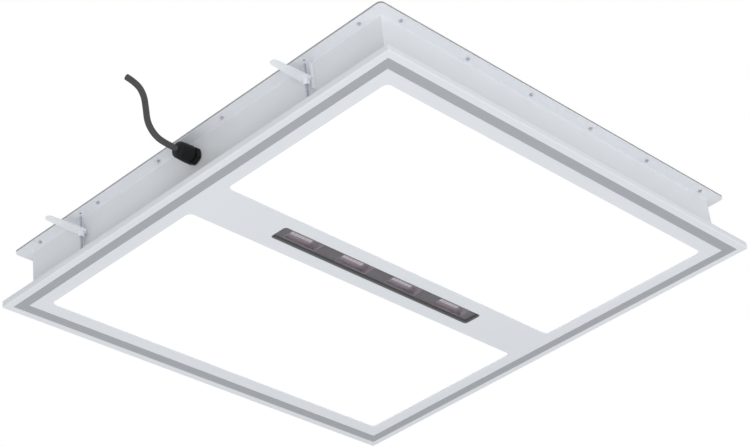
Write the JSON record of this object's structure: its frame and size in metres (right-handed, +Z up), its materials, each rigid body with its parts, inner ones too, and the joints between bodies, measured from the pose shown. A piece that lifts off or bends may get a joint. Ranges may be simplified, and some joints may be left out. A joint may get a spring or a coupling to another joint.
{
  "type": "recessed square ceiling luminaire",
  "caption": "Flush square ceiling light with twin opal diffusers, a recessed emitter strip, swing-out ceiling clamps, a drop-out door and a gland with a bare cord.",
  "frame": {"origin": "centre of the ceiling plane, the plane of the trim's upper face", "axes": "+Z up into the ceiling, +X along the emitter strip away from the cable gland"},
  "size_m": [0.7283, 0.625, 0.1214],
  "materials": {
    "white_paint": "satin powder coat",
    "galvanised": "matt zinc coat",
    "zinc_screw": "zinc plate",
    "spring_steel": "bright spring steel",
    "grey_seal": "matt",
    "dark_seal": "matt",
    "clear_seal": "translucent silicone",
    "opal": "opal acrylic",
    "board": "white solder mask",
    "gear_case": "moulded case",
    "terminal": "moulded",
    "gland_black": "moulded polyamide",
    "cord_grey": "matt sheath",
    "bezel_grey": "moulded",
    "mask_grey": "satin",
    "lens_glass": "clear",
    "cup": "tinted anodise",
    "rail_metal": "mill finish"
  },
  "bodies": {
    "housing": {"side_far": "white_paint", "side_back": "white_paint", "side_gland": "white_paint", "side_front": "white_paint", "trim_far": "white_paint", "trim_back": "white_paint", "trim_gland": "white_paint", "trim_front": "white_paint", "trim_seal": "grey_seal", "back_cover": "galvanised", "cover_seal": "dark_seal", "cover_screws": "zinc_screw", "lamp_tray": "white_paint", "tray_standoffs": "zinc_screw", "light_board_1": "board", "light_board_2": "board", "light_board_3": "board", "light_board_4": "board", "light_board_5": "board", "light_board_6": "board", "light_driver": "gear_case", "emitter_driver": "gear_case", "terminal_block": "terminal", "gland_washer": "dark_seal", "gland_body": "gland_black", "gland_sleeve": "dark_seal", "gland_nut": "gland_black", "gland_locknut": "gland_black", "supply_cord": "cord_grey", "cord_tail": "cord_grey", "clamp_screws": "zinc_screw"},
    "door": {"door_frame": "white_paint", "diffuser_seal_front": "clear_seal", "diffuser_front": "opal", "diffuser_seal_back": "clear_seal", "diffuser_back": "opal", "door_clips": "spring_steel", "strip_bezel": "bezel_grey", "strip_lens": "lens_glass", "emitter_mask": "mask_grey", "emitter_cup_1": "cup", "emitter_cup_2": "cup", "emitter_cup_3": "cup", "emitter_cup_4": "cup", "emitter_board": "board", "centre_rail": "rail_metal"},
    "clamp_1_carriage": {"clamp_nut_1": "white_paint", "clamp_guide_1": "white_paint"},
    "clamp_1_arm": {"clamp_arm_1": "white_paint"},
    "clamp_2_carriage": {"clamp_nut_2": "white_paint", "clamp_guide_2": "white_paint"},
    "clamp_2_arm": {"clamp_arm_2": "white_paint"},
    "clamp_3_carriage": {"clamp_nut_3": "white_paint", "clamp_guide_3": "white_paint"},
    "clamp_3_arm": {"clamp_arm_3": "white_paint"},
    "clamp_4_carriage": {"clamp_nut_4": "white_paint", "clamp_guide_4": "white_paint"},
    "clamp_4_arm": {"clamp_arm_4": "white_paint"}
  },
  "joints": [
    {"name": "door_drop", "type": "slide", "parent": "housing", "child": "door", "axis": [0, 0, -1], "range_m": [0, 0.12]},
    {"name": "clamp_1_travel", "type": "slide", "parent": "housing", "child": "clamp_1_carriage", "axis": [0, 0, -1], "range_m": [-0.0025, 0.029]},
    {"name": "clamp_1_swing", "type": "hinge", "parent": "clamp_1_carriage", "child": "clamp_1_arm", "pos_m": [-0.2948, 0.188, 0.0425], "axis": [0, 0, 1], "range_deg": [0, 90]},
    {"name": "clamp_2_travel", "type": "slide", "parent": "housing", "child": "clamp_2_carriage", "axis": [0, 0, -1], "range_m": [-0.0025, 0.029]},
    {"name": "clamp_2_swing", "type": "hinge", "parent": "clamp_2_carriage", "child": "clamp_2_arm", "pos_m": [-0.2948, -0.182, 0.0425], "axis": [0, 0, -1], "range_deg": [0, 90]},
    {"name": "clamp_3_travel", "type": "slide", "parent": "housing", "child": "clamp_3_carriage", "axis": [0, 0, -1], "range_m": [-0.0025, 0.029]},
    {"name": "clamp_3_swing", "type": "hinge", "parent": "clamp_3_carriage", "child": "clamp_3_arm", "pos_m": [0.2948, -0.188, 0.0425], "axis": [0, 0, 1], "range_deg": [0, 90]},
    {"name": "clamp_4_travel", "type": "slide", "parent": "housing", "child": "clamp_4_carriage", "axis": [0, 0, -1], "range_m": [-0.0025, 0.029]},
    {"name": "clamp_4_swing", "type": "hinge", "parent": "clamp_4_carriage", "child": "clamp_4_arm", "pos_m": [0.2948, 0.182, 0.0425], "axis": [0, 0, -1], "range_deg": [0, 90]}
  ]
}
